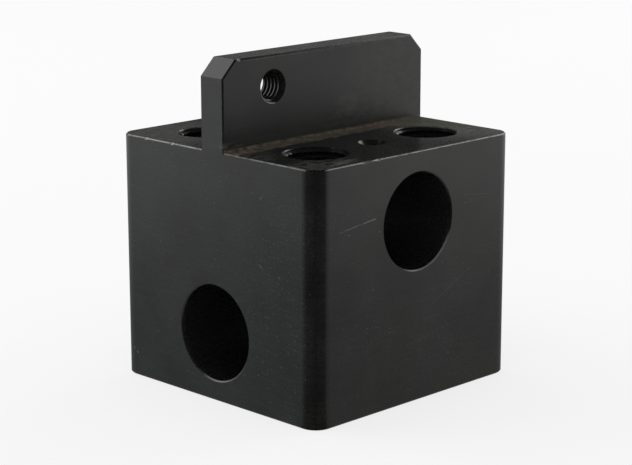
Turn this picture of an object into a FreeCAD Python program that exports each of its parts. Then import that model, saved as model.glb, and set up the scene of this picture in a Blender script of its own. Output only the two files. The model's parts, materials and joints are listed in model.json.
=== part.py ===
# Cross block: one piece milled from aluminium bar.
#
# A square block carries two round bores that cross at right angles, one above the
# other, with a thin web of metal between them. A thin upright fin stands across the
# middle of the top face, flush with the block at both ends and clipped at 45 degrees
# at its top corners. The ledges on either side of the fin hold four blind tapped
# holes, one near each corner, and the front ledge a tapped hole for the screw that
# clamps what runs through the upper bore. One more tapped hole goes through the fin.
#
# Frame: origin at the centre of the bottom face, +Z up. The upper bore runs along Y,
# the lower bore and the fin along X. Sizes are in millimetres. The tapped holes are
# modelled at their core diameter, without the thread itself.

import FreeCAD, Part
import os
import Sketcher

NODE = "cross_block"

# Driving dimensions: alias, value.
SIZES = [
    ("block_width", 70.0),          # along X
    ("block_depth", 70.0),          # along Y
    ("block_height", 62.5),
    ("corner_radius", 4.5),         # the four upright corners
    ("edge_break", 0.35),           # chamfer left on every outer edge
    ("fin_thickness", 8.0),
    ("fin_rise", 22.0),             # above the ledges
    ("fin_clip", 4.25),             # 45 degree cut at each top corner of the fin
    ("upper_bore_diameter", 24.0),
    ("upper_bore_drop", 17.25),     # bore centre below the ledges
    ("lower_bore_diameter", 24.0),
    ("lower_bore_rise", 17.25),     # bore centre above the bottom face
    ("bore_break", 0.3),            # chamfer on the mouths of both bores
    ("corner_hole_inset", 15.5),    # hole centre to the side faces, all four corners
    ("corner_hole_depth", 12.0),
    ("front_hole_core", 14.4),      # M16 x 1.5
    ("front_hole_mouth", 16.2),
    ("rear_hole_core", 12.4),       # M14 x 1.5
    ("rear_hole_mouth", 14.4),
    ("drill_angle", 118.0),         # degrees, at the bottom of the corner holes
    ("clamp_hole_core", 5.0),       # M6
    ("clamp_hole_mouth", 7.0),
    ("clamp_hole_inset", 15.5),     # hole centre to the front face
    ("fin_hole_core", 6.65),        # M8
    ("fin_hole_mouth", 8.4),
    ("fin_hole_inset", 16.5),       # hole centre to the left end of the fin
    ("fin_hole_rise", 14.2),        # hole centre above the ledges
]

COUNTERSINK = 90.0      # degrees, at the mouth of every tapped hole
CLOSE = 1e-4            # millimetres: places this near each other count as one

# Sketcher's numbers for a sketch's own origin and Y axis, and for a point of an element.
ORIGIN = -1
Y_AXIS = ORIGIN - 1
START, END, CENTRE = range(1, 4)


def make_sheet(doc):
    """The spreadsheet that every sketch and feature takes its sizes from."""
    sheet = doc.addObject("Spreadsheet::Sheet", "dims")
    for row, (alias, value) in enumerate(SIZES, start=1):
        sheet.set(f"A{row}", alias)
        sheet.set(f"B{row}", str(value))
        sheet.setAlias(f"B{row}", alias)
    doc.recompute()
    return sheet


def new_sketch(body, name, plane_role):
    """A sketch on one of the body's origin planes."""
    plane = next(item for item in body.Origin.OriginFeatures if item.Role == plane_role)
    sketch = body.newObject("Sketcher::SketchObject", name)
    sketch.AttachmentSupport = [(plane, "")]
    sketch.MapMode = "FlatFace"
    return sketch


def ledge_sketch(body, name):
    """A sketch at the level of the ledges, seen from above."""
    sketch = new_sketch(body, name, "XY_Plane")
    sketch.setExpression(".AttachmentOffset.Base.z", "dims.block_height")
    return sketch


def constrain(sketch, kind, *where):
    sketch.addConstraint(Sketcher.Constraint(kind, *where))


def dimension(sketch, name, size, kind, *where):
    """A named dimension that follows an expression of the sheet."""
    index = sketch.addConstraint(Sketcher.Constraint(kind, *where, 1.0))
    sketch.renameConstraint(index, name)
    sketch.setExpression(f"Constraints.{name}", size)


def add_outline(sketch, points):
    """Straight edges from point to point, closed."""
    corners = [FreeCAD.Vector(x, y, 0) for x, y in points]
    following = corners[1:] + corners[:1]
    for start, end in zip(corners, following):
        sketch.addGeometry(Part.LineSegment(start, end), False)
    for side in range(len(corners)):
        constrain(sketch, "Coincident", side, END, (side + 1) % len(corners), START)


def add_circle(sketch, x, y, diameter):
    circle = Part.Circle(FreeCAD.Vector(x, y, 0), FreeCAD.Vector(0, 0, 1), diameter / 2)
    return sketch.addGeometry(circle, False)


def edge_names(feature, wanted):
    """Names of the feature's edges for which wanted(edge) is true."""
    edges = enumerate(feature.Shape.Edges, start=1)
    return [f"Edge{number}" for number, edge in edges if wanted(edge)]


def add_block(body, sheet):
    """The square bar stock with its four rounded upright corners."""
    sketch = new_sketch(body, "BlockOutline", "XY_Plane")
    x, y = sheet.block_width / 2, sheet.block_depth / 2
    add_outline(sketch, [(-x, -y), (x, -y), (x, y), (-x, y)])
    front, right, rear, left = range(4)
    for side in (front, rear):
        constrain(sketch, "Horizontal", side)
    for side in (right, left):
        constrain(sketch, "Vertical", side)
    constrain(sketch, "Symmetric", front, START, rear, START, ORIGIN, START)
    dimension(sketch, "width", "dims.block_width", "DistanceX", front, START, front, END)
    dimension(sketch, "depth", "dims.block_depth", "DistanceY", right, START, right, END)
    block = body.newObject("PartDesign::Pad", "Block")
    block.Profile = sketch
    block.setExpression("Length", "dims.block_height")
    body.Document.recompute()

    corners = body.newObject("PartDesign::Fillet", "Corners")
    corners.Base = (block, edge_names(block, lambda edge: edge.BoundBox.ZLength > CLOSE))
    corners.setExpression("Radius", "dims.corner_radius")
    body.Document.recompute()


def add_fin(body, sheet):
    """The upright fin: its front outline, padded evenly to both sides of the middle."""
    sketch = new_sketch(body, "FinOutline", "XZ_Plane")
    x, clip, low = sheet.block_width / 2, sheet.fin_clip, sheet.block_height
    high = low + sheet.fin_rise
    add_outline(sketch, [(-x, low), (x, low), (x, high - clip),
                         (x - clip, high), (clip - x, high), (-x, high - clip)])
    foot, right, right_clip, crest, _, left = range(6)
    constrain(sketch, "Symmetric", foot, START, foot, END, Y_AXIS)
    constrain(sketch, "Symmetric", right, END, left, START, Y_AXIS)
    constrain(sketch, "Symmetric", crest, START, crest, END, Y_AXIS)
    constrain(sketch, "Vertical", right)
    dimension(sketch, "length", "dims.block_width", "DistanceX", foot, START, foot, END)
    dimension(sketch, "level", "dims.block_height", "DistanceY", ORIGIN, START, foot, START)
    dimension(sketch, "rise", "dims.fin_rise", "DistanceY", foot, END, crest, START)
    dimension(sketch, "clip_x", "dims.fin_clip",
              "DistanceX", right_clip, END, right_clip, START)
    dimension(sketch, "clip_y", "dims.fin_clip",
              "DistanceY", right_clip, START, right_clip, END)
    fin = body.newObject("PartDesign::Pad", "Fin")
    fin.Profile = sketch
    fin.SideType = "Symmetric"
    fin.setExpression("Length", "dims.fin_thickness")
    body.Document.recompute()
    return fin


def break_outer_edges(body, sheet, blank):
    """A small chamfer round the top and bottom rims and round both faces of the fin."""
    def is_outer(edge):
        box = edge.BoundBox
        on_fin_face = box.YLength < CLOSE and abs(box.YMax) < sheet.fin_thickness / 2 + CLOSE
        if box.ZMax > sheet.block_height + CLOSE:
            return on_fin_face
        if box.ZMin > sheet.block_height - CLOSE:
            return not on_fin_face
        return box.ZMax < CLOSE

    chamfer = body.newObject("PartDesign::Chamfer", "OuterEdges")
    chamfer.Base = (blank, edge_names(blank, is_outer))
    chamfer.setExpression("Size", "dims.edge_break")
    body.Document.recompute()


def drill_through(body, sketch, name):
    """Cut a sketch's circle right through the body, both ways from the sketch."""
    hole = body.newObject("PartDesign::Pocket", name)
    hole.Profile = sketch
    hole.Type = "ThroughAll"
    hole.SideType = "Symmetric"
    body.Document.recompute()
    return hole


def chamfer_mouths(body, hole, centre, axis, diameter, size):
    """Chamfer both mouths of the round hole that runs along axis through centre."""
    def is_mouth(edge):
        curve = edge.Curve
        return isinstance(curve, Part.Circle) \
            and abs(curve.Radius - diameter / 2) < CLOSE \
            and (curve.Center - centre).cross(axis).Length < CLOSE

    chamfer = body.newObject("PartDesign::Chamfer", f"{hole.Name}Mouths")
    chamfer.Base = (hole, edge_names(hole, is_mouth))
    chamfer.setExpression("Size", size)
    body.Document.recompute()


def add_upper_bore(body, sheet):
    """The plain bore from front to rear, under the middle of the ledges."""
    sketch = new_sketch(body, "UpperBoreCircle", "XZ_Plane")
    level = sheet.block_height - sheet.upper_bore_drop
    circle = add_circle(sketch, 0, level, sheet.upper_bore_diameter)
    constrain(sketch, "PointOnObject", circle, CENTRE, Y_AXIS)
    dimension(sketch, "diameter", "dims.upper_bore_diameter", "Diameter", circle)
    dimension(sketch, "level", "dims.block_height - dims.upper_bore_drop",
              "DistanceY", ORIGIN, START, circle, CENTRE)
    bore = drill_through(body, sketch, "UpperBore")
    chamfer_mouths(body, bore, FreeCAD.Vector(0, 0, level), FreeCAD.Vector(0, 1, 0),
                   sheet.upper_bore_diameter, "dims.bore_break")


def add_lower_bore(body, sheet):
    """The plain bore from left to right, over the middle of the bottom face."""
    sketch = new_sketch(body, "LowerBoreCircle", "YZ_Plane")
    level = sheet.lower_bore_rise
    circle = add_circle(sketch, 0, level, sheet.lower_bore_diameter)
    constrain(sketch, "PointOnObject", circle, CENTRE, Y_AXIS)
    dimension(sketch, "diameter", "dims.lower_bore_diameter", "Diameter", circle)
    dimension(sketch, "level", "dims.lower_bore_rise",
              "DistanceY", ORIGIN, START, circle, CENTRE)
    bore = drill_through(body, sketch, "LowerBore")
    chamfer_mouths(body, bore, FreeCAD.Vector(0, 0, level), FreeCAD.Vector(1, 0, 0),
                   sheet.lower_bore_diameter, "dims.bore_break")


def tapped_hole(body, name, sketch, size):
    """A hole drilled down from the ledges to the core diameter, with its mouth opened."""
    hole = body.newObject("PartDesign::Hole", name)
    hole.Profile = sketch
    body.Document.recompute()
    hole.HoleCutType = "Countersink"
    hole.HoleCutCountersinkAngle = COUNTERSINK
    hole.DrillPoint = "Flat"
    hole.setExpression("Diameter", f"dims.{size}_core")
    hole.setExpression("HoleCutDiameter", f"dims.{size}_mouth")
    return hole


def add_corner_holes(body, sheet, size, row_sign):
    """Two blind tapped holes, one at each end of a ledge; row_sign -1 is the front."""
    title = size.title().replace("_", "")
    sketch = ledge_sketch(body, f"{title}Circles")
    x = sheet.block_width / 2 - sheet.corner_hole_inset
    y = row_sign * (sheet.block_depth / 2 - sheet.corner_hole_inset)
    left = add_circle(sketch, -x, y, sheet.get(f"{size}_core"))
    right = add_circle(sketch, x, y, sheet.get(f"{size}_core"))
    constrain(sketch, "Equal", left, right)
    constrain(sketch, "Symmetric", left, CENTRE, right, CENTRE, Y_AXIS)
    dimension(sketch, "diameter", f"dims.{size}_core", "Diameter", left)
    dimension(sketch, "spacing", "dims.block_width - 2 * dims.corner_hole_inset",
              "DistanceX", left, CENTRE, right, CENTRE)
    middle, hole = (ORIGIN, START), (left, CENTRE)
    low, high = (hole, middle) if row_sign < 0 else (middle, hole)
    dimension(sketch, "offset", "dims.block_depth / 2 - dims.corner_hole_inset",
              "DistanceY", *low, *high)
    holes = tapped_hole(body, f"{title}s", sketch, size)
    holes.DrillPoint = "Angled"
    holes.setExpression("DrillPointAngle", "dims.drill_angle")
    holes.setExpression("Depth", "dims.corner_hole_depth")
    body.Document.recompute()


def add_clamp_hole(body, sheet):
    """The tapped hole in the middle of the front ledge, open into the upper bore."""
    sketch = ledge_sketch(body, "ClampHoleCircle")
    y = sheet.clamp_hole_inset - sheet.block_depth / 2
    circle = add_circle(sketch, 0, y, sheet.clamp_hole_core)
    constrain(sketch, "PointOnObject", circle, CENTRE, Y_AXIS)
    dimension(sketch, "diameter", "dims.clamp_hole_core", "Diameter", circle)
    dimension(sketch, "offset", "dims.block_depth / 2 - dims.clamp_hole_inset",
              "DistanceY", circle, CENTRE, ORIGIN, START)
    hole = tapped_hole(body, "ClampHole", sketch, "clamp_hole")
    hole.setExpression("Depth", "dims.upper_bore_drop")
    body.Document.recompute()


def add_fin_hole(body, sheet):
    """The tapped hole through the fin, with both mouths opened."""
    sketch = new_sketch(body, "FinHoleCircle", "XZ_Plane")
    x = sheet.fin_hole_inset - sheet.block_width / 2
    z = sheet.block_height + sheet.fin_hole_rise
    circle = add_circle(sketch, x, z, sheet.fin_hole_core)
    dimension(sketch, "diameter", "dims.fin_hole_core", "Diameter", circle)
    dimension(sketch, "offset", "dims.block_width / 2 - dims.fin_hole_inset",
              "DistanceX", circle, CENTRE, ORIGIN, START)
    dimension(sketch, "level", "dims.block_height + dims.fin_hole_rise",
              "DistanceY", ORIGIN, START, circle, CENTRE)
    hole = drill_through(body, sketch, "FinHole")
    chamfer_mouths(body, hole, FreeCAD.Vector(x, 0, z), FreeCAD.Vector(0, 1, 0),
                   sheet.fin_hole_core, "(dims.fin_hole_mouth - dims.fin_hole_core) / 2")


def make_cross_block(doc, sheet):
    body = doc.addObject("PartDesign::Body", NODE)
    body.Label = NODE
    add_block(body, sheet)
    fin = add_fin(body, sheet)
    break_outer_edges(body, sheet, fin)
    add_upper_bore(body, sheet)
    add_lower_bore(body, sheet)
    add_corner_holes(body, sheet, "front_hole", -1)
    add_corner_holes(body, sheet, "rear_hole", 1)
    add_clamp_hole(body, sheet)
    add_fin_hole(body, sheet)
    body.Placement = FreeCAD.Placement()
    return body


def check(doc, body):
    """Stop before anything is written if a feature has failed or cut nothing."""
    for item in doc.Objects:
        if {"Invalid", "Error"} & set(item.State):
            raise RuntimeError(f"{item.Name} failed: {item.State}")
    if body.Shape.isNull() or not body.Shape.isValid() or len(body.Shape.Solids) != 1:
        raise RuntimeError(f"{body.Label} is not one valid solid")
    previous = None
    for feature in body.Group:
        if not feature.isDerivedFrom("PartDesign::Feature"):
            continue
        volume = feature.Shape.Volume
        cuts = not feature.isDerivedFrom("PartDesign::Pad")
        if previous is not None and (volume >= previous if cuts else volume <= previous):
            raise RuntimeError(f"{feature.Name} left the volume at {volume:.1f} mm3")
        previous = volume


def main():
    doc = FreeCAD.newDocument("cross_block_document")
    sheet = make_sheet(doc)
    body = make_cross_block(doc, sheet)
    doc.recompute()
    check(doc, body)
    os.makedirs("parts", exist_ok=True)
    body.Shape.exportStep(f"parts/{body.Label}.step")
    box = body.Shape.BoundBox
    print(f"{body.Label}: {box.XLength:.2f} x {box.YLength:.2f} x {box.ZLength:.2f} mm,",
          f"{body.Shape.Volume / 1000:.1f} cm3")


main()
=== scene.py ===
import json
import math
from types import SimpleNamespace

import bmesh
import bpy
from mathutils import Matrix, Vector


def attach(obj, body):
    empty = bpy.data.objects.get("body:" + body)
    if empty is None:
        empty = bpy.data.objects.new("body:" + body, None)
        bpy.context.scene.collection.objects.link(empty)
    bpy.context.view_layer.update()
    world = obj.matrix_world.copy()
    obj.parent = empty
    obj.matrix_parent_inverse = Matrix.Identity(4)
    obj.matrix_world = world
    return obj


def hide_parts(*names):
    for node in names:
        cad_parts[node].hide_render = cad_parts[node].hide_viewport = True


# A black anodised cross block, machined from one bar, on a pale studio floor.
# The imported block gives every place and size. Its holes are cut again here with
# finer walls and real threads, and it gets its finish and its wear.

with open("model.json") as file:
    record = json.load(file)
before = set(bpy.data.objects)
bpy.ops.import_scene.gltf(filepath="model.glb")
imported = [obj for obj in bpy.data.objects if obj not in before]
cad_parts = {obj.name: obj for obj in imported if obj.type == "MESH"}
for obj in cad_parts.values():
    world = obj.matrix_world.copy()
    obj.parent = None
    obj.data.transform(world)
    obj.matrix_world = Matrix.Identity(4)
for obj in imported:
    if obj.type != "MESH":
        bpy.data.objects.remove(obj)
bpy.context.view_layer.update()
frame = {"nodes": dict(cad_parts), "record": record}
blockNode = frame["nodes"]["cross_block"]
mounts = {mount["name"]: mount for mount in frame["record"]["mounts"]}
print("frame loaded:", ", ".join(sorted(mounts)))

mm = 0.001      # the block is worked on in millimetres, then brought back to metres

corners = [vert.co / mm for vert in blockNode.data.vertices]
halfWidth = max(corner.x for corner in corners)
halfDepth = max(corner.y for corner in corners)
topHeight = max(corner.z for corner in corners)
ledgeHeight = max(corner.z for corner in corners if abs(corner.y) > halfDepth / 2)
finHalf = max(corner.y for corner in corners if corner.z > (ledgeHeight + topHeight) / 2)
print(f"block {2 * halfWidth:.1f} x {2 * halfDepth:.1f} x {topHeight:.1f} mm,",
      f"ledges at {ledgeHeight:.1f} mm")


cutting = {
    "skin": 0.004,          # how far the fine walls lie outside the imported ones
    "overrun": 0.6,         # how far each cutter stands out of its mouth
    "boreSides": 192,
    "boreBreak": 0.3,       # chamfer on the mouths of the two bores
    "holeSides": 96,
    "threadSteps": 72,      # steps of a thread in one turn
    "threadRoot": 0.08,     # how far a thread's ridge reaches inside the core wall
    "threadCrest": 1 / 8,   # the ridge's narrow side, as a share of the pitch
    "flankAngle": 30.0,     # degrees, of each flank
    "drillAngle": 118.0,    # degrees, at the bottom of a blind hole
    "weldWithin": 0.001,
    "smoothBelow": 25.0,    # degrees: blunter edges than this shade smooth
    "flatWithin": 0.003,    # how near a flat's level its corners lie
    "clipArea": 4.0,        # square millimetres: the fin's clipped corners are larger
}

# thread and mouth diameters, pitch; a blind hole also has its depth and its run-out in turns
tappedHoles = {
    "front_corner_holes": {"thread": 16.0, "mouth": 16.2, "pitch": 1.5, "depth": 12.0, "runOut": 1.5},
    "rear_corner_holes": {"thread": 14.0, "mouth": 14.4, "pitch": 1.5, "depth": 12.0, "runOut": 1.5},
    "clamp_screw_hole": {"thread": 6.0, "mouth": 7.0, "pitch": 1.0},
    "fin_hole": {"thread": 8.0, "mouth": 8.4, "pitch": 1.25, "steps": 180},
}


def addNode(tree, kind, **settings):
    node = tree.nodes.new(kind)
    for key, value in settings.items():
        setattr(node, key, value)
    return node


def feed(tree, socket, value):
    # a socket takes another socket's output, or a plain value
    if isinstance(value, bpy.types.NodeSocket):
        tree.links.new(value, socket)
    else:
        socket.default_value = value


def reckon(tree, operation, first, second=0.0):
    node = addNode(tree, "ShaderNodeMath", operation=operation)
    feed(tree, node.inputs[0], first)
    feed(tree, node.inputs[1], second)
    return node.outputs["Value"]


def threadTree():
    # a helical ridge: a spiral carries a trapezoid, which shrinks away over the run-out
    tree = bpy.data.node_groups.new("threadRidge", "GeometryNodeTree")
    tree.interface.new_socket("Geometry", in_out="OUTPUT", socket_type="NodeSocketGeometry")
    ids = {}
    for name, kind in (("Inner Radius", "Float"), ("Outer Radius", "Float"), ("Pitch", "Float"),
                       ("Turns", "Float"), ("Run Out Turns", "Float"), ("Steps", "Int"),
                       ("Material", "Material")):
        socket = tree.interface.new_socket(name, in_out="INPUT", socket_type="NodeSocket" + kind)
        ids[name] = socket.identifier
    given = addNode(tree, "NodeGroupInput").outputs
    result = addNode(tree, "NodeGroupOutput")

    spiral = addNode(tree, "GeometryNodeCurveSpiral")
    feed(tree, spiral.inputs["Resolution"], given["Steps"])
    feed(tree, spiral.inputs["Rotations"], given["Turns"])
    feed(tree, spiral.inputs["Start Radius"], given["Inner Radius"])
    feed(tree, spiral.inputs["End Radius"], given["Inner Radius"])
    feed(tree, spiral.inputs["Height"], reckon(tree, "MULTIPLY", given["Turns"], given["Pitch"]))
    upright = addNode(tree, "GeometryNodeSetCurveNormal", mode="Z_UP")
    feed(tree, upright.inputs["Curve"], spiral.outputs["Curve"])

    # the section's wide side lies on the spiral and its narrow one outwards
    depth = reckon(tree, "SUBTRACT", given["Outer Radius"], given["Inner Radius"])
    narrow = reckon(tree, "MULTIPLY", given["Pitch"], cutting["threadCrest"])
    flanks = reckon(tree, "MULTIPLY", depth, 2 * math.tan(math.radians(cutting["flankAngle"])))
    section = addNode(tree, "GeometryNodeCurvePrimitiveQuadrilateral", mode="TRAPEZOID")
    feed(tree, section.inputs["Height"], depth)
    feed(tree, section.inputs["Bottom Width"], reckon(tree, "ADD", narrow, flanks))
    feed(tree, section.inputs["Top Width"], narrow)
    feed(tree, section.inputs["Offset"], 0.0)
    outwards = addNode(tree, "ShaderNodeCombineXYZ")
    feed(tree, outwards.inputs["X"], reckon(tree, "MULTIPLY", depth, -0.5))
    seated = addNode(tree, "GeometryNodeTransform")
    feed(tree, seated.inputs["Geometry"], section.outputs["Curve"])
    feed(tree, seated.inputs["Translation"], outwards.outputs["Vector"])
    feed(tree, seated.inputs["Rotation"], (0, 0, math.pi / 2))

    # the ridge grows over the run-out, from the spiral's lower end
    along = addNode(tree, "GeometryNodeSplineParameter").outputs["Factor"]
    fade = addNode(tree, "ShaderNodeMapRange")
    feed(tree, fade.inputs["Value"], reckon(tree, "MULTIPLY", along, given["Turns"]))
    feed(tree, fade.inputs["From Max"], reckon(tree, "MAXIMUM", given["Run Out Turns"], 0.001))
    feed(tree, fade.inputs["To Min"], 0.02)
    ridge = addNode(tree, "GeometryNodeCurveToMesh")
    feed(tree, ridge.inputs["Curve"], upright.outputs["Curve"])
    feed(tree, ridge.inputs["Profile Curve"], seated.outputs["Geometry"])
    feed(tree, ridge.inputs["Scale"], fade.outputs["Result"])
    feed(tree, ridge.inputs["Fill Caps"], True)

    real = addNode(tree, "GeometryNodeRealizeInstances")
    feed(tree, real.inputs["Geometry"], ridge.outputs["Mesh"])
    coated = addNode(tree, "GeometryNodeSetMaterial")
    feed(tree, coated.inputs["Geometry"], real.outputs["Geometry"])
    feed(tree, coated.inputs["Material"], given["Material"])
    feed(tree, result.inputs["Geometry"], coated.outputs["Geometry"])
    return tree, ids


def asObject(name, mesh):
    thing = bpy.data.objects.new(name, mesh)
    bpy.context.scene.collection.objects.link(thing)
    return thing


def flattened(thing, name):
    # the evaluated mesh of an object, as plain mesh data
    bpy.context.view_layer.update()
    depsgraph = bpy.context.evaluated_depsgraph_get()
    mesh = bpy.data.meshes.new_from_object(thing.evaluated_get(depsgraph))
    mesh.name = name
    return mesh


def threadMesh(tree, ids, name, hole, coreRadius, length, material):
    carrier = asObject(name, bpy.data.meshes.new(name))
    ridge = carrier.modifiers.new("thread", "NODES")
    ridge.node_group = tree
    for label, value in (("Inner Radius", coreRadius - cutting["threadRoot"]),
                         ("Outer Radius", hole["thread"] / 2),
                         ("Pitch", hole["pitch"]),
                         ("Turns", length / hole["pitch"]),
                         ("Run Out Turns", hole.get("runOut", 0.0)),
                         ("Steps", hole.get("steps", cutting["threadSteps"])),
                         ("Material", material)):
        ridge[ids[label]] = value
    mesh = flattened(carrier, name)
    bpy.data.objects.remove(carrier)
    return mesh


def revolvedMesh(name, profile, sides):
    # a closed solid of revolution about Z, from (radius, height) points, axis to axis
    shape = bmesh.new()
    turns = [(math.cos(2 * math.pi * side / sides), math.sin(2 * math.pi * side / sides))
             for side in range(sides)]
    rings = []
    for radius, height in profile:
        around = turns if radius > 0 else turns[:1]
        rings.append([shape.verts.new((radius * x, radius * y, height)) for x, y in around])
    for lower, upper in zip(rings, rings[1:]):
        for side in range(sides):
            quad = []
            for ring, place in ((lower, side), (lower, side + 1), (upper, side + 1), (upper, side)):
                vert = ring[place % len(ring)]
                if vert not in quad:
                    quad.append(vert)
            shape.faces.new(quad)
    bmesh.ops.recalc_face_normals(shape, faces=shape.faces)
    mesh = bpy.data.meshes.new(name)
    shape.to_mesh(mesh)
    shape.free()
    return mesh


def placed(mesh, mouth, axis):
    # +Z of a cutter points out of its mouth
    turn = Vector((0, 0, 1)).rotation_difference(axis).to_matrix().to_4x4()
    mesh.transform(Matrix.Translation(mouth) @ turn)
    return mesh


def boreCutter(name, length):
    # a plain bore from face to face, with both mouths chamfered
    mount = mounts[name]
    axis = Vector(mount["axis"])
    radius = mount["dims"]["r_mm"] + cutting["skin"]
    flare, overrun = cutting["boreBreak"], cutting["overrun"]
    wide = radius + flare + overrun
    profile = [(0, overrun), (wide, overrun), (radius, -flare),
               (radius, flare - length), (wide, -length - overrun), (0, -length - overrun)]
    middle = Vector(mount["pos_m"]) / mm
    mouth = middle + axis * (length / 2 - middle.dot(axis))
    return placed(revolvedMesh(name, profile, cutting["boreSides"]), mouth, axis)


def holeCutter(name, hole, coreRadius, mouth, axis, through):
    # the drilled core with its chamfered mouth, or mouths where it goes right through
    core = coreRadius + cutting["skin"]
    overrun = cutting["overrun"]
    flare = hole["mouth"] / 2 - coreRadius
    wide = core + flare + overrun
    profile = [(0, overrun), (wide, overrun), (core, -flare)]
    if name == "fin_hole":
        profile += [(core, flare - through), (wide, -through - overrun), (0, -through - overrun)]
    elif through:
        profile += [(core, -through), (0, -through)]
    else:
        tip = hole["depth"] + core / math.tan(math.radians(cutting["drillAngle"] / 2))
        profile += [(core, -hole["depth"]), (0, -tip)]
    return placed(revolvedMesh(name, profile, cutting["holeSides"]), mouth, axis)


def tappedCutters(name, hole, tree, ids, material):
    # a drilled core and a thread for each hole of a mount
    mount = mounts[name]
    axis = Vector(mount["axis"])
    place = Vector(mount["pos_m"]) / mm
    coreRadius = mount["dims"].get("hole_r_mm") or mount["dims"]["r_mm"]
    spacing = mount["dims"].get("spacing_x_mm", 0)
    through = 0
    if name == "fin_hole":
        through = 2 * finHalf
        place.y = -finHalf
    else:
        place.z = ledgeHeight
    if name == "clamp_screw_hole":
        through = ledgeHeight - mounts["upper_bore"]["pos_m"][2] / mm
    length = (through or hole["depth"] - hole["pitch"]) + cutting["overrun"]
    if name == "fin_hole":
        length += cutting["overrun"]
    cutters = []
    for offset in ((-spacing / 2, spacing / 2) if spacing else (0,)):
        mouth = place + Vector((offset, 0, 0))
        cutters.append(holeCutter(name, hole, coreRadius, mouth, axis, through))
        ridge = threadMesh(tree, ids, name + "_thread", hole, coreRadius, length, material)
        ridge.transform(Matrix.Translation((0, 0, cutting["overrun"] - length)))
        cutters.append(placed(ridge, mouth, axis))
    return cutters


# knocks in the edges: a point on the edge, length and depth, and how much bare metal shows
dents = {
    "left_knock": {"at": (-halfWidth, 14.8, ledgeHeight), "length": 1.4, "depth": 0.22, "bare": 0.8},
    "left_rear_knock": {"at": (-halfWidth, 24.4, ledgeHeight), "length": 1.2, "depth": 0.15,
                        "bare": 0.8},
    "front_knock": {"at": (-18.0, -halfDepth, ledgeHeight), "length": 4.2, "depth": 0.2,
                    "bare": 0.12},
    "front_knock_end": {"at": (-13.9, -halfDepth, ledgeHeight), "length": 1.2, "depth": 0.16,
                        "bare": 0.5},
    "fin_knock": {"at": (-29.6, -finHalf, topHeight), "length": 1.0, "depth": 0.1, "bare": 1.0},
}

knocking = {
    "ballSize": 3.0,        # the ball's radius, as a multiple of the dent's depth
    "ballSides": 24,
    "ballStep": 12,         # degrees
    "edgeBreak": 0.35,      # the broken edge that the ball meets
}


def dentCutter(name, dent):
    # a flat ball pressed into the edge
    at = Vector(dent["at"])
    onSide = abs(at.x) > halfWidth - 1
    outwards = Vector((-1, 0, 1) if onSide else (0, -1, 1)).normalized()
    radius = dent["depth"] * knocking["ballSize"]
    ball = [(radius * math.sin(math.radians(step)), radius * math.cos(math.radians(step)))
            for step in range(0, 181, knocking["ballStep"])]
    ball[0], ball[-1] = (0, radius), (0, -radius)
    mesh = revolvedMesh(name, ball, knocking["ballSides"])
    sunk = math.sqrt(1 - (1 - 1 / knocking["ballSize"]) ** 2)
    across = dent["length"] / 2 / radius / sunk
    mesh.transform(Matrix.Diagonal((1, across, 1, 1) if onSide else (across, 1, 1, 1)))
    reach = radius - dent["depth"] - knocking["edgeBreak"] / math.sqrt(2)
    mesh.transform(Matrix.Translation(at + outwards * reach))
    return mesh


def blankMesh(material):
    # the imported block, welded, in millimetres
    shape = bmesh.new()
    shape.from_mesh(blockNode.data)
    bmesh.ops.scale(shape, vec=(1 / mm,) * 3, verts=shape.verts)
    bmesh.ops.remove_doubles(shape, verts=shape.verts, dist=cutting["weldWithin"])
    mesh = bpy.data.meshes.new("block_blank")
    shape.to_mesh(mesh)
    shape.free()
    mesh.materials.clear()
    mesh.materials.append(material)
    return mesh


def shadeFlats(mesh):
    # the block's flats shade flat, whatever meets them
    flats = ((0, -halfWidth), (0, halfWidth), (1, -halfDepth), (1, halfDepth),
             (1, -finHalf), (1, finHalf), (2, 0), (2, ledgeHeight), (2, topHeight))
    for face in mesh.polygons:
        points = [mesh.vertices[index].co for index in face.vertices]
        diagonal = abs(abs(face.normal.x) - abs(face.normal.z)) < 0.01
        clip = face.area > cutting["clipArea"] and diagonal and face.center.z > ledgeHeight
        if clip or any(all(abs(point[axis] - level) < cutting["flatWithin"] for point in points)
                       for axis, level in flats):
            face.use_smooth = False


def machinedBlock(material):
    # every hole cut again and the knocks pressed in, one cutter after another
    block = asObject("machined_block", blankMesh(material))
    cutters = [boreCutter("upper_bore", 2 * halfDepth), boreCutter("lower_bore", 2 * halfWidth)]
    tree, ids = threadTree()
    for name, hole in tappedHoles.items():
        cutters += tappedCutters(name, hole, tree, ids, material)
    cutters += [dentCutter(name, dent) for name, dent in dents.items()]
    for cutter in cutters:
        tool = asObject("cutter", cutter)
        cut = block.modifiers.new("cut", "BOOLEAN")
        cut.solver = "EXACT"
        cut.object = tool
        cleared = flattened(block, "machined_block")
        block.modifiers.clear()
        block.data = cleared
        bpy.data.objects.remove(tool)
        print("cut", cutter.name, len(cleared.polygons), "faces")

    mesh = block.data
    mesh.shade_smooth()
    mesh.set_sharp_from_angle(angle=math.radians(cutting["smoothBelow"]))
    shadeFlats(mesh)
    mesh.transform(Matrix.Scale(mm, 4))
    weigh = block.modifiers.new("weigh", "WEIGHTED_NORMAL")
    weigh.keep_sharp = True
    block.data = flattened(block, "machined_block")
    block.modifiers.clear()
    return block


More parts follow.
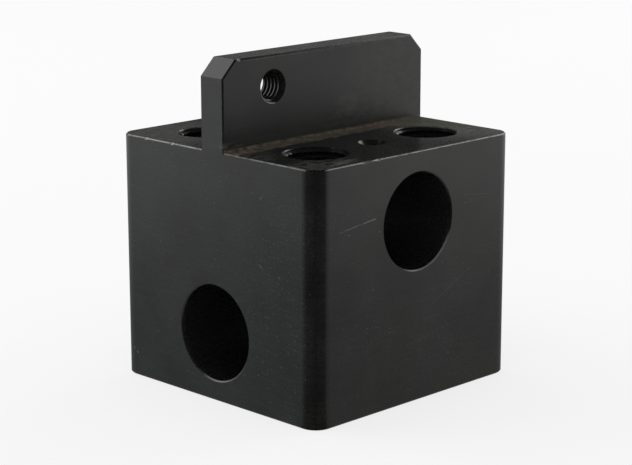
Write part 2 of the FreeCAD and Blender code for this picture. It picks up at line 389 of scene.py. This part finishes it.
# millimetres, unless said; places are the block's own
finish = {
    "black": (0.0046, 0.0048, 0.0046, 1),       # dyed oxide over bright metal
    "inside": (0.0105, 0.0105, 0.0105, 1),      # and down in the holes, a lighter black: painted light reaching into them
    "warm": (0.130, 0.096, 0.066, 1),           # browner dye beside the fin
    "olive": (0.104, 0.106, 0.066, 1),
    "rusty": (0.146, 0.104, 0.076, 1),
    "greenish": (0.031, 0.039, 0.036, 1),       # the film's cast on the left face, a painted light tone that goes by which way the face looks
    "purplish": (0.038, 0.036, 0.036, 1),       # and its two on the others
    "yellowish": (0.037, 0.037, 0.030, 1),
    "bloom": (0.120, 0.120, 0.112, 1),          # where the film has dried pale, and painted sheen on the ledges and the fin's top
    "dust": (0.15, 0.15, 0.145, 1),
    "bare": (0.62, 0.62, 0.60, 1),
    "filmShare": 0.4,       # how much of the film shows
    "ledgeCast": 0.8,       # how much of the cast on the ledges is yellowish
    "holeDepth": 0.4,       # how far below the ledges the holes' own finish, with its painted light, starts
    "skinDepth": 1.2,       # and how far in from the sides
    "roughness": 0.24,
    "roughest": 0.55,
    "finRoughness": 0.1,    # how much rougher the fin's sides are
    "stripDullness": 0.8,
    "soilDullness": 0.6,
    "ior": 1.65,
    "grainHeight": 0.0000008,       # metres
    "markHeight": 2.0,      # how much higher dust and scratches stand than the grain
}

# the cutter's last pass along the fin's foot, where dirt has settled
footStrip = {
    "width": 4.2,
    "softness": 0.3,
    "foot": 0.8,            # how far its dye runs up the fin
    "widening": 16.0,       # how much wider it gets over that length at the right end
    "rustySpans": ((-29.0, 3.0), (18.0, 7.0)),      # along it: middle and half length
    "rustyFade": 1.5,
}

# oxide rubbed off the edges of the ledges and of the fin, and the painted highlight ring on the
# mouths
rims = {
    "wear": 0.3,            # how far in from an edge
    "softness": 0.08,
    "leftShare": 0.55,      # how much of that the left edge has behind the fin
    "cornerShare": 0.36,    # and in front of it
    "leftEdge": (2.0, 4.0),         # where the left edge's share gives way, from the left face
    "knockReach": (0.6, 0.45),      # how far from an edge a knock's bare metal goes
    "knockLength": (0.6, 0.3),      # and how far along, as shares of its length
    "mouthRing": (0.2, 0.1),        # half width and core of the painted highlight ring on a mouth
    "mouthInset": 0.1,
    "mouthLow": (0.8, 1.0),         # how low on a mouth it starts and is full, in radii
}

# mouths with a painted highlight, bare metal on the lower part of the rim where the chamfer catches
# light: how far it leans to a side, how bright it is, how deep it goes
highlitMouths = {
    "fin_hole": {"lean": 0.7, "share": 0.7, "depth": 0.3},
    "upper_bore": {"lean": -0.5, "share": 0.25, "depth": 0.5},
    "lower_bore": {"lean": -0.5, "share": 0.2, "depth": 0.5},
}

# clouds: how many to a millimetre, their detail and their stretch
patterns = {
    "broad": (0.07, 3, (1, 1, 1)),
    "streaks": (0.35, 4, (0.25, 0.25, 4)),
    "grain": (1.6, 2, (1, 1, 1)),
    "smear": (0.8, 3, (0.45, 1, 1)),
    "mottle": (0.3, 5, (0.5, 1, 1)),
    "flecks": (0.9, 4, (1, 0.45, 1)),
    "scratchGaps": (1.1, 3, (1, 1, 1)),
    "rimGaps": (0.45, 4, (1, 1, 1)),
    "cast": (0.045, 2, (1, 1, 1)),
}

# what a reading becomes: from and to on it, then from and to in the finish
spread = {
    "upward": (0.85, 0.95),
    "filmClouds": (0.35, 0.7),
    "filmGrain": (0.35, 0.7, 0.3, 1.0),
    "filmStreaks": (0.45, 0.8, 0.0, 0.35),
    "filmFrontLeft": (-0.9, -0.5, 0.16, 0.0),
    "soilEdges": (0.44, 0.56, 0.0, 2.0),
    "bloomEdges": (0.35, 0.65, 0.55, 1.15),
    "stripEdge": (0.3, 0.7, -0.9, 0.9),
    "stripRight": (10.0, halfWidth, 0.0, 0.15),
    "stripOlive": (0.4, 0.62),
    "stripFlecks": (0.38, 0.6, 0.2, 1.1),
    "scratchGaps": (0.4, 0.55),
    "rimGaps": (0.36, 0.56, 0.25, 1.0),
    "cast": (0.42, 0.58),
    "greenCast": (-0.9, -0.99),
    "streakGloss": (0.3, 0.7, -0.02, 0.04),
    "grainGloss": (0.3, 0.7, -0.02, 0.03),
    "patchEdge": (1.0, 0.35),
}

# specks of dust: how many to a millimetre, how large, how many of the cells have one
dustKinds = (
    {"perMm": 2.0, "size": 0.36, "share": 1.0, "bright": 0.55},
    {"perMm": 0.7, "size": 0.2, "share": 0.5, "bright": 1.0},
)
evenDust = 0.03

# start, end, half width, strength
scratches = (
    ((-27.0, -halfDepth, 46.9), (-17.5, -halfDepth, 48.1), 0.22, 0.5),
    ((-19.0, -halfDepth, 47.9), (-14.6, -halfDepth, 48.3), 0.26, 0.95),
    ((-25.6, -halfDepth, 46.1), (-23.0, -halfDepth, 45.8), 0.16, 0.5),
    ((-14.6, -halfDepth, 45.1), (-13.4, -halfDepth, 44.9), 0.16, 0.5),
    ((16.5, -halfDepth, 49.3), (27.0, -halfDepth, 48.0), 0.12, 0.22),
    ((5.5, -halfDepth, 23.5), (19.5, -halfDepth, 30.5), 0.14, 0.2),
    ((-6.0, -halfDepth, 14.5), (14.0, -halfDepth, 17.5), 0.14, 0.16),
    ((-halfWidth, 30.6, 7.2), (-halfWidth, 29.2, 6.0), 0.35, 0.5),
    ((-halfWidth, -17.4, 54.2), (-halfWidth, -16.6, 53.3), 0.25, 0.4),
    ((-halfWidth, -16.0, 37.4), (-halfWidth, -17.6, 36.4), 0.2, 0.4),
    ((-29.5, -finHalf, topHeight - 0.6), (-8.0, -finHalf, topHeight - 0.6), 0.16, 0.45),
    ((-8.0, -finHalf, topHeight - 0.6), (30.0, -finHalf, topHeight - 0.6), 0.16, 0.3),
)

# centre, reach each way, how thick the film is there
soiledPlaces = (
    ((-34.0, -9.0, ledgeHeight), (10.0, 12.0, 3.0), 0.85),
    ((-30.0, -30.0, ledgeHeight), (14.0, 8.0, 3.0), 0.85),
    ((-23.0, -32.0, ledgeHeight), (6.0, 3.0, 3.0), 0.8),
    ((10.0, -finHalf, 67.0), (20.0, 2.0, 4.0), 0.15),
)

# the same, for pale patches: film dried pale on the fin's face, and painted sheen standing in for
# reflection on the ledges and the fin's top
paleFilmAndSheenPlaces = (
    ((36.0, -20.0, ledgeHeight), (30.0, 26.0, 0.4), 0.85),
    ((-12.0, -finHalf, 64.0), (30.0, 2.0, 10.0), 0.06),
    ((-30.0, 26.0, ledgeHeight), (26.0, 24.0, 0.4), 0.5),
    ((-25.0, -32.6, ledgeHeight), (4.5, 0.8, 0.4), 0.9),
    ((-21.0, -31.0, ledgeHeight), (5.5, 0.7, 0.4), 0.7),
    ((7.5, -finHalf, 69.5), (6.0, 2.0, 4.0), 0.12),
    ((0.0, 0.0, topHeight), (60.0, 8.0, 0.25), 0.3),
    ((36.0, -finHalf, 74.0), (42.0, 2.0, 24.0), 0.16),
)

# the same, for how thickly dust lies there
dustyPlaces = (
    ((-halfWidth, -20.0, 30.0), (4.0, 14.0, 30.0), 0.25),
    ((-30.0, -31.0, ledgeHeight), (9.0, 6.0, 2.0), 0.9),
    ((-halfWidth, -28.0, 24.0), (4.0, 6.0, 30.0), 0.6),
    ((-16.0, -halfDepth, 20.0), (12.0, 4.0, 8.0), 0.3),
    ((7.0, -finHalf, 69.5), (6.0, 2.0, 4.0), 0.5),
    ((5.0, -halfDepth, 12.0), (18.0, 4.0, 12.0), 0.15),
)


def plus(tree, total, *others):
    for value in others:
        total = reckon(tree, "ADD", total, value)
    return total


def times(tree, product, *others):
    for value in others:
        product = reckon(tree, "MULTIPLY", product, value)
    return product


def most(tree, largest, *others):
    for value in others:
        largest = reckon(tree, "MAXIMUM", largest, value)
    return largest


def scaled(tree, value, fromMin, fromMax, toMin=0.0, toMax=1.0, smooth=False):
    easing = "SMOOTHSTEP" if smooth else "LINEAR"
    node = addNode(tree, "ShaderNodeMapRange", interpolation_type=easing)
    for name, number in (("Value", value), ("From Min", fromMin), ("From Max", fromMax),
                         ("To Min", toMin), ("To Max", toMax)):
        feed(tree, node.inputs[name], number)
    return node.outputs["Result"]


def blended(tree, factor, first, second):
    node = addNode(tree, "ShaderNodeMix", data_type="FLOAT")
    feed(tree, node.inputs["Factor"], factor)
    feed(tree, node.inputs[2], first)
    feed(tree, node.inputs[3], second)
    return node.outputs[0]


def tinted(tree, factor, first, second):
    node = addNode(tree, "ShaderNodeMix", data_type="RGBA")
    feed(tree, node.inputs["Factor"], factor)
    feed(tree, node.inputs[6], first)
    feed(tree, node.inputs[7], second)
    return node.outputs[2]


def bent(tree, operation, first, second=None, scale=None):
    # vector arithmetic
    node = addNode(tree, "ShaderNodeVectorMath", operation=operation)
    feed(tree, node.inputs[0], first)
    if second is not None:
        feed(tree, node.inputs[1], second)
    if scale is not None:
        feed(tree, node.inputs["Scale"], scale)
    single = operation in ("LENGTH", "DOT_PRODUCT", "DISTANCE")
    return node.outputs["Value" if single else "Vector"]


def parted(tree, vector):
    node = addNode(tree, "ShaderNodeSeparateXYZ")
    feed(tree, node.inputs["Vector"], vector)
    return node.outputs


def clouds(tree, place, pattern):
    perMm, detail, stretch = patterns[pattern]
    node = addNode(tree, "ShaderNodeTexNoise")
    feed(tree, node.inputs["Vector"], bent(tree, "MULTIPLY", place, stretch))
    feed(tree, node.inputs["Scale"], perMm)
    feed(tree, node.inputs["Detail"], detail)
    return node.outputs["Fac"]


def lineMark(tree, place, start, end, width, strength):
    start, along = Vector(start), Vector(end) - Vector(start)
    offset = bent(tree, "SUBTRACT", place, start)
    share = reckon(tree, "DIVIDE", bent(tree, "DOT_PRODUCT", offset, along), along.length_squared)
    share.node.use_clamp = True
    apart = bent(tree, "DISTANCE", offset, bent(tree, "SCALE", along, scale=share))
    return scaled(tree, apart, width, width * 0.2, 0.0, strength)


def specks(tree, place, perMm, size, thickness):
    # one round speck in some of the cells, each of its own size and brightness
    cells = addNode(tree, "ShaderNodeTexVoronoi")
    feed(tree, cells.inputs["Vector"], place)
    feed(tree, cells.inputs["Scale"], perMm)
    chance = addNode(tree, "ShaderNodeSeparateColor")
    feed(tree, chance.inputs["Color"], cells.outputs["Color"])
    there = reckon(tree, "LESS_THAN", chance.outputs["Red"], thickness)
    wide = scaled(tree, chance.outputs["Green"], 0.0, 1.0, size * 0.4, size)
    grain = scaled(tree, reckon(tree, "DIVIDE", cells.outputs["Distance"], wide), 1.0, 0.5)
    return times(tree, grain, there, scaled(tree, chance.outputs["Blue"], 0.0, 1.0, 0.25, 1.0))


def patches(tree, place, places):
    # how much of the listed patches there is at a place
    share = 0.0
    for centre, reach, thickness in places:
        offset = bent(tree, "DIVIDE", bent(tree, "SUBTRACT", place, centre), reach)
        patch = scaled(tree, bent(tree, "LENGTH", offset), *spread["patchEdge"], 0.0, thickness,
                       smooth=True)
        share = plus(tree, patch, share)
    return share


def surfaceReadings(tree):
    # what all layers of the finish go by: the place in millimetres, and how the surface faces
    coordinates = addNode(tree, "ShaderNodeTexCoord")
    place = bent(tree, "SCALE", coordinates.outputs["Object"], scale=1 / mm)
    x, y, z = parted(tree, place)
    facingX, facingY, facingZ = parted(tree, coordinates.outputs["Normal"])
    inX = reckon(tree, "SUBTRACT", halfWidth, reckon(tree, "ABSOLUTE", x))
    inY = reckon(tree, "SUBTRACT", halfDepth, reckon(tree, "ABSOLUTE", y))
    nearest = reckon(tree, "MINIMUM", inX, inY)
    outside = most(tree, reckon(tree, "GREATER_THAN", z, ledgeHeight - finish["holeDepth"]),
                   reckon(tree, "LESS_THAN", nearest, finish["skinDepth"]))
    return SimpleNamespace(
        place=place, x=x, y=y, z=z, facingX=facingX, facingY=facingY, nearest=nearest,
        up=scaled(tree, facingZ, *spread["upward"]), outside=outside,
        onFin=reckon(tree, "GREATER_THAN", z, ledgeHeight + 1),
        streaks=clouds(tree, place, "streaks"), grain=clouds(tree, place, "grain"),
        smear=clouds(tree, place, "smear"))


def filmLayers(tree, at):
    # the dye's film, the soil in it, and the pale patches: dried film, and painted sheen on the
    # ledges and the fin's top
    film = times(tree, scaled(tree, clouds(tree, at.place, "broad"), *spread["filmClouds"]),
                 scaled(tree, at.grain, *spread["filmGrain"]))
    film = plus(tree, film, scaled(tree, at.streaks, *spread["filmStreaks"]))
    # more of the film on the faces looking towards -X and -Y, the left and the front, so they are
    # lighter
    sideways = reckon(tree, "MINIMUM", at.facingX, at.facingY)
    film = plus(tree, times(tree, film, finish["filmShare"]),
                scaled(tree, sideways, *spread["filmFrontLeft"]))
    soil = times(tree, patches(tree, at.place, soiledPlaces), most(tree, at.up, at.onFin),
                 scaled(tree, at.smear, *spread["soilEdges"]))
    film = times(tree, plus(tree, film, soil), at.outside)
    bloom = times(tree, patches(tree, at.place, paleFilmAndSheenPlaces),
                  scaled(tree, at.smear, *spread["bloomEdges"]), at.outside)
    return film, soil, bloom


def stripLayer(tree, at):
    # how much of the strip beside the fin there is, and its colour
    fromFin = reckon(tree, "SUBTRACT", -finHalf, at.y)
    ragged = scaled(tree, at.smear, *spread["stripEdge"])
    widening = scaled(tree, at.x, halfWidth - footStrip["widening"], halfWidth,
                      0.0, -footStrip["widening"], smooth=True)
    width, soft = footStrip["width"], footStrip["softness"]
    share = scaled(tree, plus(tree, fromFin, ragged, widening), width + soft, width - soft)
    above = reckon(tree, "SUBTRACT", at.z, ledgeHeight)
    foot = scaled(tree, above, footStrip["foot"], footStrip["foot"] - soft)
    flecks = scaled(tree, clouds(tree, at.place, "flecks"), *spread["stripFlecks"])
    share = times(tree, share, reckon(tree, "GREATER_THAN", fromFin, -0.1), foot,
                  reckon(tree, "GREATER_THAN", above, -soft), flecks)

    mottle = plus(tree, clouds(tree, at.place, "mottle"),
                  scaled(tree, at.x, *spread["stripRight"]))
    colour = tinted(tree, scaled(tree, mottle, *spread["stripOlive"]),
                    finish["warm"], finish["olive"])
    rusty = 0.0
    for middle, reach in footStrip["rustySpans"]:
        apart = reckon(tree, "ABSOLUTE", reckon(tree, "SUBTRACT", at.x, middle))
        span = scaled(tree, apart, reach + footStrip["rustyFade"], reach - footStrip["rustyFade"])
        rusty = most(tree, span, rusty)
    return share, tinted(tree, rusty, colour, finish["rusty"])


def dustAndScratches(tree, at):
    dust = times(tree, plus(tree, patches(tree, at.place, dustyPlaces), evenDust), at.outside)
    marks = 0.0
    for kind in dustKinds:
        lying = specks(tree, at.place, kind["perMm"], kind["size"],
                       times(tree, dust, kind["share"]))
        marks = most(tree, times(tree, lying, kind["bright"]), marks)
    gaps = scaled(tree, clouds(tree, at.place, "scratchGaps"), *spread["scratchGaps"])
    for scratch in scratches:
        marks = most(tree, marks, times(tree, lineMark(tree, at.place, *scratch), gaps))
    return marks


def mouthHighlight(tree, at):
    # painted highlight: bare metal painted along the lower part of the mouths' rims, where their
    # chamfers catch light
    wear = 0.0
    for name, mouth in highlitMouths.items():
        mount = mounts[name]
        centre = Vector(mount["pos_m"]) / mm
        if name == "lower_bore":
            across, middle = times(tree, at.y, -1.0), -centre.y
            inwards = plus(tree, at.x, halfWidth)
        else:
            across, middle = at.x, centre.x
            inwards = plus(tree, at.y, finHalf if name == "fin_hole" else halfDepth)
        near = reckon(tree, "LESS_THAN", reckon(tree, "ABSOLUTE", inwards), mouth["depth"])
        hole = tappedHoles.get(name)
        radius = hole["mouth"] / 2 if hole else mount["dims"]["r_mm"] + cutting["boreBreak"]
        offset = addNode(tree, "ShaderNodeCombineXYZ")
        feed(tree, offset.inputs["X"], reckon(tree, "SUBTRACT", across, middle))
        feed(tree, offset.inputs["Y"], reckon(tree, "SUBTRACT", at.z, centre.z))
        offset = offset.outputs["Vector"]
        fromRim = reckon(tree, "SUBTRACT", bent(tree, "LENGTH", offset), radius - rims["mouthInset"])
        ring = scaled(tree, reckon(tree, "ABSOLUTE", fromRim), *rims["mouthRing"],
                      0.0, mouth["share"])
        start, full = rims["mouthLow"]
        lower = scaled(tree, bent(tree, "DOT_PRODUCT", offset, (mouth["lean"], 1, 0)),
                       -radius * start, -radius * full)
        wear = most(tree, times(tree, ring, lower, near), wear)
    return wear


def wearAndHighlightShare(tree, at):
    # how much bare metal shows: worn on the edges and the knocks, and a painted highlight on the
    # mouths
    below = reckon(tree, "ABSOLUTE", reckon(tree, "SUBTRACT", ledgeHeight, at.z))
    rim = most(tree, at.nearest, below)
    onRim = scaled(tree, rim, rims["wear"], rims["wear"] - rims["softness"])
    gaps = scaled(tree, clouds(tree, at.place, "rimGaps"), *spread["rimGaps"])
    offFin = reckon(tree, "GREATER_THAN", reckon(tree, "ABSOLUTE", at.y), finHalf)
    leftShare = scaled(tree, at.y, -finHalf, finHalf, rims["cornerShare"], rims["leftShare"])
    start, full = rims["leftEdge"]
    edgeShare = blended(tree, scaled(tree, at.x, start - halfWidth, full - halfWidth),
                        leftShare, 1.0)
    wearAndHighlight = most(tree, times(tree, gaps, onRim, edgeShare, offFin), mouthHighlight(tree, at))
    edges = most(tree, scaled(tree, rim, *rims["knockReach"]), at.onFin)
    far, close = rims["knockLength"]
    for dent in dents.values():
        fresh = scaled(tree, bent(tree, "DISTANCE", at.place, dent["at"]),
                       dent["length"] * far, dent["length"] * close, 0.0, dent["bare"])
        wearAndHighlight = most(tree, wearAndHighlight, times(tree, fresh, edges))
    return wearAndHighlight


def filmCast(tree, at):
    # the film is yellowish or purplish in clouds, yellowish on the ledges; the greenish cast on the
    # left face is a painted light tone
    drift = scaled(tree, clouds(tree, at.place, "cast"), *spread["cast"])
    cast = tinted(tree, drift, finish["yellowish"], finish["purplish"])
    onLedge = times(tree, at.up, reckon(tree, "LESS_THAN", at.z, ledgeHeight + 1))
    cast = tinted(tree, times(tree, onLedge, finish["ledgeCast"]), cast, finish["yellowish"])
    return tinted(tree, scaled(tree, at.facingX, *spread["greenCast"]), cast, finish["greenish"])


def surfaceRoughness(tree, at, dull):
    rough = plus(tree, finish["roughness"], scaled(tree, at.streaks, *spread["streakGloss"]),
                 scaled(tree, at.grain, *spread["grainGloss"]))
    facesFrontOrBack = reckon(tree, "GREATER_THAN", reckon(tree, "ABSOLUTE", at.facingY), 0.9)
    finSide = times(tree, reckon(tree, "GREATER_THAN", at.z, ledgeHeight + 0.5), facesFrontOrBack)
    rough = plus(tree, rough, times(tree, finSide, finish["finRoughness"]))
    return blended(tree, dull, rough, finish["roughest"])


def blackAnodised():
    material = bpy.data.materials.new("black_anodised")
    material.use_nodes = True
    tree = material.node_tree
    shader = tree.nodes["Principled BSDF"]
    shader.inputs["IOR"].default_value = finish["ior"]

    at = surfaceReadings(tree)
    film, soil, bloom = filmLayers(tree, at)
    strip, stripColour = stripLayer(tree, at)
    marks = dustAndScratches(tree, at)
    wearAndHighlight = wearAndHighlightShare(tree, at)

    # the holes' walls get the lighter black, painted light standing in for light reaching down them
    colour = tinted(tree, at.outside, finish["inside"], finish["black"])
    for share, over in ((film, filmCast(tree, at)), (bloom, finish["bloom"]),
                        (strip, stripColour), (marks, finish["dust"]), (wearAndHighlight, finish["bare"])):
        colour = tinted(tree, share, colour, over)
    feed(tree, shader.inputs["Base Color"], colour)
    feed(tree, shader.inputs["Metallic"], wearAndHighlight)
    dull = most(tree, marks, times(tree, strip, finish["stripDullness"]), wearAndHighlight,
                times(tree, soil, finish["soilDullness"]))
    feed(tree, shader.inputs["Roughness"], surfaceRoughness(tree, at, dull))

    # the ledges and the fin's top are milled too smooth for the grain
    relief = plus(tree, at.grain, times(tree, marks, finish["markHeight"]))
    bump = addNode(tree, "ShaderNodeBump")
    feed(tree, bump.inputs["Strength"], 1.0)
    feed(tree, bump.inputs["Distance"], finish["grainHeight"])
    feed(tree, bump.inputs["Height"], times(tree, relief, reckon(tree, "SUBTRACT", 1.0, at.up)))
    feed(tree, shader.inputs["Normal"], bump.outputs["Normal"])
    return material


anodised = blackAnodised()
block = machinedBlock(anodised)
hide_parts("cross_block")
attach(block, "root")
print("block machined:", len(block.data.polygons), "faces")


# azimuths are degrees round the block from its front, elevations degrees above the floor
studio = {
    "azimuth": -44.926,
    "elevation": 13.527,
    "roll": 0.094,
    "distance": 0.505,      # metres, to the point the camera looks at
    "aim": (0.83, 0.79, 36.26),     # millimetres
    "lens": 112.96,
    "nearClip": 0.01,       # metres
    "floorSize": 6.0,       # metres
    "floorColour": (0.9, 0.9, 0.9, 1),
    "floorRoughness": 0.9,
    "backdropAzimuth": 135.0,
    "ambient": 0.65,        # what matt surfaces get from all round
    "floorNear": 0.235,     # what gloss sees of the floor close to the block: painted shade, dimmer where the block shades it
    "floorFar": 0.65,       # and far from it at the sides
    "nearEdge": 0.04,       # metres
    "farEdge": 0.45,
    "cameraSide": 0.02,     # how much of that there is round the camera
    "cornerInset": 3.0,     # millimetres: the painted shadow fans out from inside the near corner
    "softEdge": (-0.6, 0.2),        # its left edge, on a scale from the camera to the back
    "hardEdge": (-0.52, -0.35),     # and its right one, which rises in two steps
    "hardFade": (-0.3, 0.2, 0.72, 1.0),
    "edgeChange": (-0.2, 0.2),      # where one gives way to the other, from left to right
    "horizon": 0.32,        # the pale band that gloss sees above the floor
    "horizonHeight": 0.16,
    "horizonSides": (-0.75, -0.15),         # where it starts beside the camera
    "horizonBack": (0.0, 0.8),
    "backRise": 2.4,        # how much more of it there is at the back
    "shadowShare": 0.25,    # how much of the floor's own light and shade shows
}

softboxes = {
    "right_softbox": {"azimuth": 84.0, "elevation": 25.0, "distance": 1.2, "size": (0.95, 0.68),
                      "power": 3.3},
    "left_softbox": {"azimuth": -156.0, "elevation": 29.0, "distance": 1.2, "size": (1.3, 1.25),
                     "power": 6.2},
}


def bearing(azimuth, elevation):
    azimuth, elevation = math.radians(azimuth), math.radians(elevation)
    return Vector((math.sin(azimuth) * math.cos(elevation),
                   -math.cos(azimuth) * math.cos(elevation), math.sin(elevation)))


def addCamera():
    back = bearing(studio["azimuth"], studio["elevation"])
    camera = asObject("camera", bpy.data.cameras.new("camera"))
    camera.data.lens = studio["lens"]
    camera.data.clip_start = studio["nearClip"]
    camera.location = Vector(studio["aim"]) * mm + back * studio["distance"]
    camera.rotation_mode = "QUATERNION"
    rolled = Matrix.Rotation(math.radians(-studio["roll"]), 4, "Z").to_quaternion()
    camera.rotation_quaternion = back.to_track_quat("Z", "Y") @ rolled
    bpy.context.scene.camera = camera


def addSoftbox(name, box):
    outwards = bearing(box["azimuth"], box["elevation"])
    lamp = asObject(name, bpy.data.lights.new(name, "AREA"))
    lamp.data.shape = "RECTANGLE"
    lamp.data.size, lamp.data.size_y = box["size"]
    lamp.data.energy = box["power"]
    lamp.location = outwards * box["distance"]
    lamp.rotation_euler = outwards.to_track_quat("Z", "Y").to_euler()
    lamp.visible_camera = False


def shareAlong(tree, direction, azimuth):
    # how far a level direction points towards an azimuth, from -1 to 1
    level = bent(tree, "NORMALIZE", bent(tree, "MULTIPLY", direction, (1, 1, 0)))
    return bent(tree, "DOT_PRODUCT", level, bearing(azimuth, 0))


def paintedFloorShadow(tree, direction):
    # painted shadow of the block on the floor, as gloss sees it: dark round the camera, with a hard
    # edge on its right
    along = shareAlong(tree, direction, studio["backdropAzimuth"])
    across = shareAlong(tree, direction, studio["backdropAzimuth"] - 90)
    soft = scaled(tree, along, *studio["softEdge"], smooth=True)
    hard = times(tree, scaled(tree, along, *studio["hardEdge"]),
                 scaled(tree, along, *studio["hardFade"]))
    edge = blended(tree, scaled(tree, across, *studio["edgeChange"]), soft, hard)
    return most(tree, edge, studio["cameraSide"])


def seenDirectly(tree):
    # 1 for what the camera sees, straight or through glass, and whether gloss sees it
    path = addNode(tree, "ShaderNodeLightPath").outputs
    return most(tree, path["Is Camera Ray"], path["Is Transmission Ray"]), path["Is Glossy Ray"]


def paleFloor():
    material = bpy.data.materials.new("pale_floor")
    material.use_nodes = True
    material.cycles.emission_sampling = "NONE"
    tree = material.node_tree
    paper = tree.nodes["Principled BSDF"]
    paper.inputs["Base Color"].default_value = studio["floorColour"]
    paper.inputs["Roughness"].default_value = studio["floorRoughness"]
    paper.inputs["Specular IOR Level"].default_value = 0.0

    place = addNode(tree, "ShaderNodeTexCoord").outputs["Object"]
    # what gloss sees of the floor glows, with painted shade: greyer near the block, and the block's
    # painted shadow round the camera
    far = scaled(tree, bent(tree, "LENGTH", place), studio["nearEdge"], studio["farEdge"],
                 smooth=True)
    glow = blended(tree, far, studio["floorNear"], studio["floorFar"])
    inset = studio["cornerInset"]
    nearCorner = Vector((inset - halfWidth, inset - halfDepth, 0)) * mm
    glow = times(tree, glow, paintedFloorShadow(tree, bent(tree, "SUBTRACT", place, nearCorner)))
    seen, glossy = seenDirectly(tree)
    white = addNode(tree, "ShaderNodeEmission")
    feed(tree, white.inputs["Strength"], most(tree, seen, glow))
    mixed = addNode(tree, "ShaderNodeMixShader")
    share = most(tree, times(tree, seen, 1 - studio["shadowShare"]), glossy)
    feed(tree, mixed.inputs["Fac"], share)
    feed(tree, mixed.inputs[1], paper.outputs["BSDF"])
    feed(tree, mixed.inputs[2], white.outputs["Emission"])
    feed(tree, tree.nodes["Material Output"].inputs["Surface"], mixed.outputs["Shader"])
    return material


def addFloor():
    size = studio["floorSize"] / 2
    mesh = bpy.data.meshes.new("floor")
    mesh.from_pydata([(-size, -size, 0), (size, -size, 0), (size, size, 0), (-size, size, 0)],
                     [], [(0, 1, 2, 3)])
    mesh.materials.append(paleFloor())
    floor = asObject("floor", mesh)


def addWorld():
    world = bpy.data.worlds.new("studio")
    world.use_nodes = True
    world.cycles.sampling_method = "NONE"
    bpy.context.scene.world = world
    tree = world.node_tree
    around = addNode(tree, "ShaderNodeTexCoord").outputs["Generated"]
    low = scaled(tree, parted(tree, around)["Z"], 0.0, studio["horizonHeight"],
                 studio["horizon"], 0.0, smooth=True)
    along = shareAlong(tree, around, studio["backdropAzimuth"])
    sides = scaled(tree, along, *studio["horizonSides"], studio["cameraSide"], 1.0, smooth=True)
    behind = scaled(tree, along, *studio["horizonBack"], 0.0, studio["backRise"], smooth=True)
    glow = times(tree, low, plus(tree, sides, behind))
    seen, glossy = seenDirectly(tree)
    plain = most(tree, seen, studio["ambient"])
    background = tree.nodes["Background"]
    feed(tree, background.inputs["Color"], (1, 1, 1, 1))
    feed(tree, background.inputs["Strength"], blended(tree, glossy, plain, glow))


addCamera()
addFloor()
addWorld()
for name, box in softboxes.items():
    addSoftbox(name, box)
bpy.context.scene.view_settings.view_transform = "Standard"
print("studio set")
